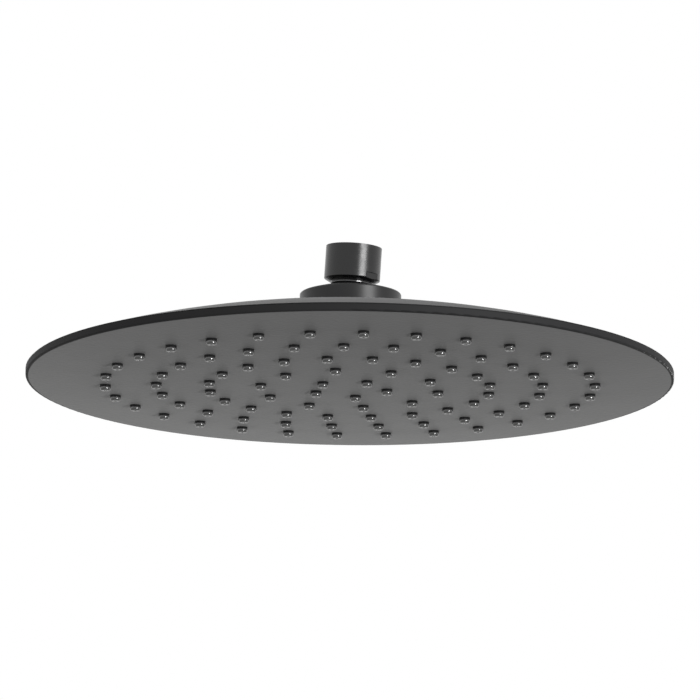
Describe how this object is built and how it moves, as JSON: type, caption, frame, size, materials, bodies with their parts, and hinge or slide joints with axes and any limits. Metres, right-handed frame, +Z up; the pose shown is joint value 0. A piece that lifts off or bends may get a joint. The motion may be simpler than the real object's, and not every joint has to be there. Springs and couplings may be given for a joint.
{
  "type": "rain shower head",
  "caption": "Round rain shower head: crowned spray face with rubber nozzles under a domed back cover, hung on a ball joint below a threaded inlet.",
  "frame": {"origin": "centre of the inlet's mouth, at the top end of the inlet connector", "axes": "+Z up along the axis of the level head, +X to the right and +Y away from the viewer of the picture"},
  "size_m": [0.3, 0.3, 0.0703],
  "materials": {
    "face_plastic": "moulded ABS with a satin black finish",
    "cover_plastic": "moulded ABS with a satin black finish",
    "nozzle_rubber": "moulded black silicone, soft sheen",
    "collar_metal": "turned brass under satin black coating",
    "inlet_metal": "turned brass under satin black coating",
    "ball_metal": "polished brass under black coating",
    "inner_plastic": "moulded ABS, plain",
    "bearing_plastic": "natural acetal, plain",
    "seal_rubber": "moulded black rubber",
    "steel": "plain stainless steel"
  },
  "bodies": {
    "connector": {"inlet_connector": "inlet_metal", "swivel_ball": "ball_metal", "inlet_washer": "seal_rubber", "inlet_screen": "steel", "flow_regulator": "bearing_plastic", "regulator_ring": "seal_rubber"},
    "seal": {"ball_seal": "seal_rubber"},
    "seat": {"seat_ring": "bearing_plastic"},
    "head": {"face_plate": "face_plastic", "nozzle_mat": "nozzle_rubber", "chamber_plate": "inner_plastic", "chamber_seal": "seal_rubber", "chamber_screws": "steel", "back_cover": "cover_plastic", "retaining_collar": "collar_metal", "ball_ring": "bearing_plastic"}
  },
  "joints": [
    {"name": "tilt_front", "type": "hinge", "parent": "connector", "child": "seal", "pos_m": [-0.00147, 0.00138, -0.0263], "axis": [1, 0, 0], "range_deg": [-5, 11]},
    {"name": "tilt_side", "type": "hinge", "parent": "seal", "child": "seat", "pos_m": [-0.00147, 0.00138, -0.0263], "axis": [0, 1, 0], "range_deg": [-5, 11]},
    {"name": "spin", "type": "hinge", "parent": "seat", "child": "head", "pos_m": [-0.00147, 0.00138, -0.0263], "axis": [0, 0, 1], "continuous": true}
  ]
}
